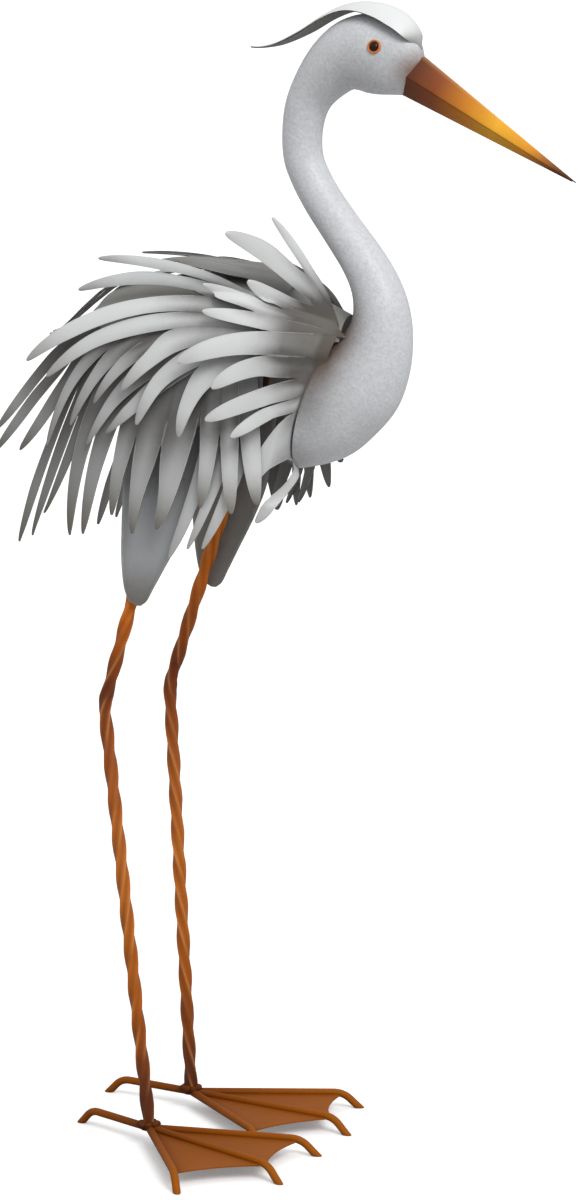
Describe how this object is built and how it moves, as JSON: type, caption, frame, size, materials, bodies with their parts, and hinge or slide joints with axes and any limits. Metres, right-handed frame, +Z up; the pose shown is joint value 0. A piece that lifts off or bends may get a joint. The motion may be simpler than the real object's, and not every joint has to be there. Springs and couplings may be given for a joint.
{
  "type": "metal heron garden statue",
  "caption": "Standing garden heron of painted sheet steel with slit-sheet feathers, a crest, a folded beak and twisted-bar legs on webbed feet.",
  "frame": {"origin": "centre of the bird's bounding box on the ground under its toe tips", "axes": "+X the way the bird faces, +Y its left side, +Z up"},
  "size_m": [0.533, 0.3186, 1],
  "materials": {
    "neck": "satin light grey paint with a fine sprayed grain and grey-brown airbrushing",
    "crest": "satin light grey above, dark grey below",
    "beak": "satin yellow-orange, red-brown at the base and dark brown at the tip",
    "eye": "glossy dark brown with an orange ring",
    "inner_paint": "dull dark grey",
    "feather": "satin light grey with airbrushed shade at the roots and olive tips",
    "feather_dark": "satin mid grey with brown tips",
    "thigh": "satin mid grey, olive at the lower end",
    "leg": "semi-gloss orange-brown, dark brown at the knees and welds"
  },
  "bodies": {
    "root": {"neck_and_breast": "neck", "crest_plate": "crest", "upper_beak": "beak", "lower_beak": "beak", "left_eye": "eye", "right_eye": "eye", "body_saddle": "inner_paint", "upper_back_comb": "feather", "rear_back_comb": "feather", "left_collar_comb": "feather", "left_shoulder_comb": "feather", "left_upper_comb": "feather", "left_middle_comb": "feather_dark", "left_lower_comb": "feather_dark", "left_tail_comb": "feather_dark", "left_belly_comb": "feather", "left_thigh_plate": "thigh", "left_leg": "leg", "left_foot": "leg", "right_collar_comb": "feather", "right_shoulder_comb": "feather", "right_upper_comb": "feather", "right_middle_comb": "feather_dark", "right_lower_comb": "feather_dark", "right_tail_comb": "feather_dark", "right_belly_comb": "feather", "right_thigh_plate": "thigh", "right_leg": "leg", "right_foot": "leg"}
  },
  "joints": []
}
